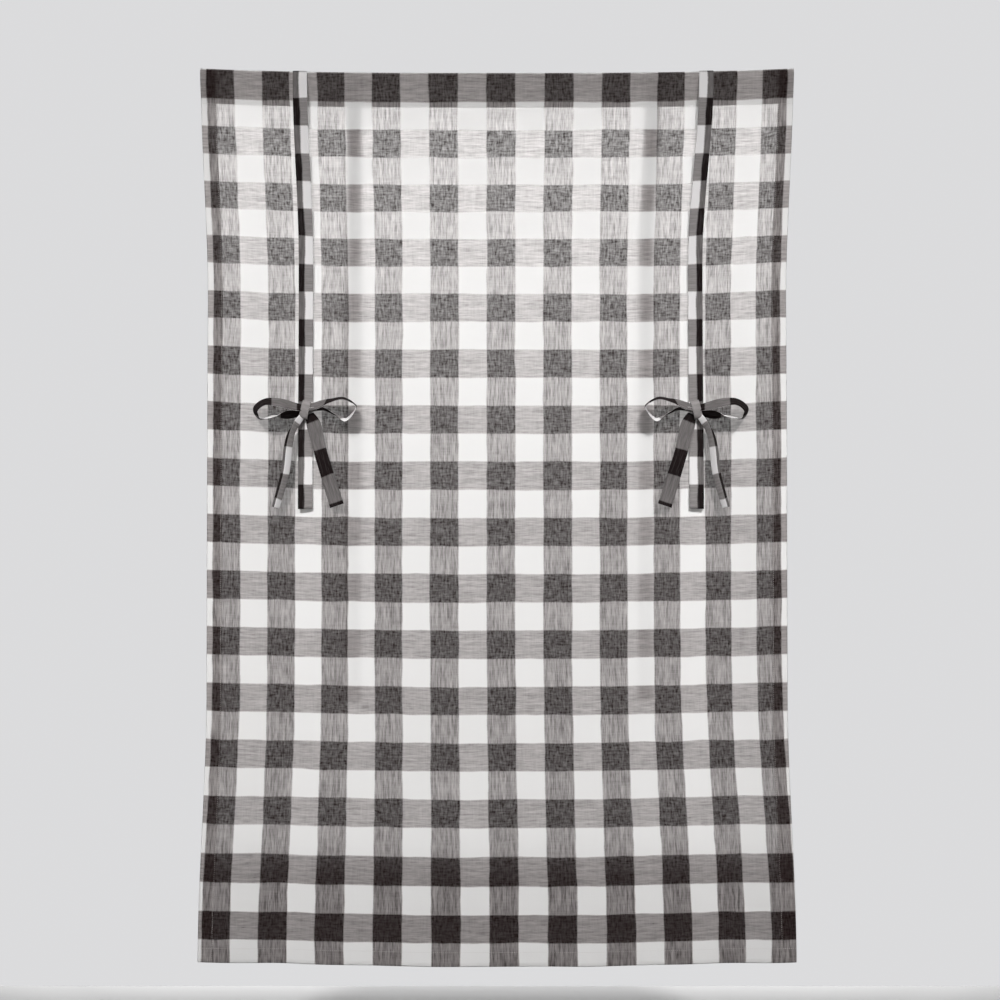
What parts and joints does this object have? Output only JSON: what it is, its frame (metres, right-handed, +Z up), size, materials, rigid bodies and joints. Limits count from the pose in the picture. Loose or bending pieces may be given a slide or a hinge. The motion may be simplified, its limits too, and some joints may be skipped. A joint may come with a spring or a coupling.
{
  "type": "tie-up balloon shade",
  "caption": "Sheer checked tie-up shade let down flat: a hemmed cloth panel under an open rod pocket, with ties hanging in front and behind and a bow on each front tie.",
  "frame": {"origin": "middle of the top fold, over the rod pocket", "axes": "+X to the viewer's right along the top edge, +Y towards the back, +Z up"},
  "size_m": [1.0672, 0.0768, 1.608],
  "materials": {
    "sheer_check": "sheer slub cotton, woven black and white check",
    "tie_check": "the same cloth, doubled and close"
  },
  "bodies": {
    "root": {"shade_panel": "sheer_check", "rod_pocket": "sheer_check", "front_tie_left": "tie_check", "front_tie_right": "tie_check", "back_tie_left": "tie_check", "back_tie_right": "tie_check", "bow_left": "tie_check", "bow_right": "tie_check"}
  },
  "joints": []
}
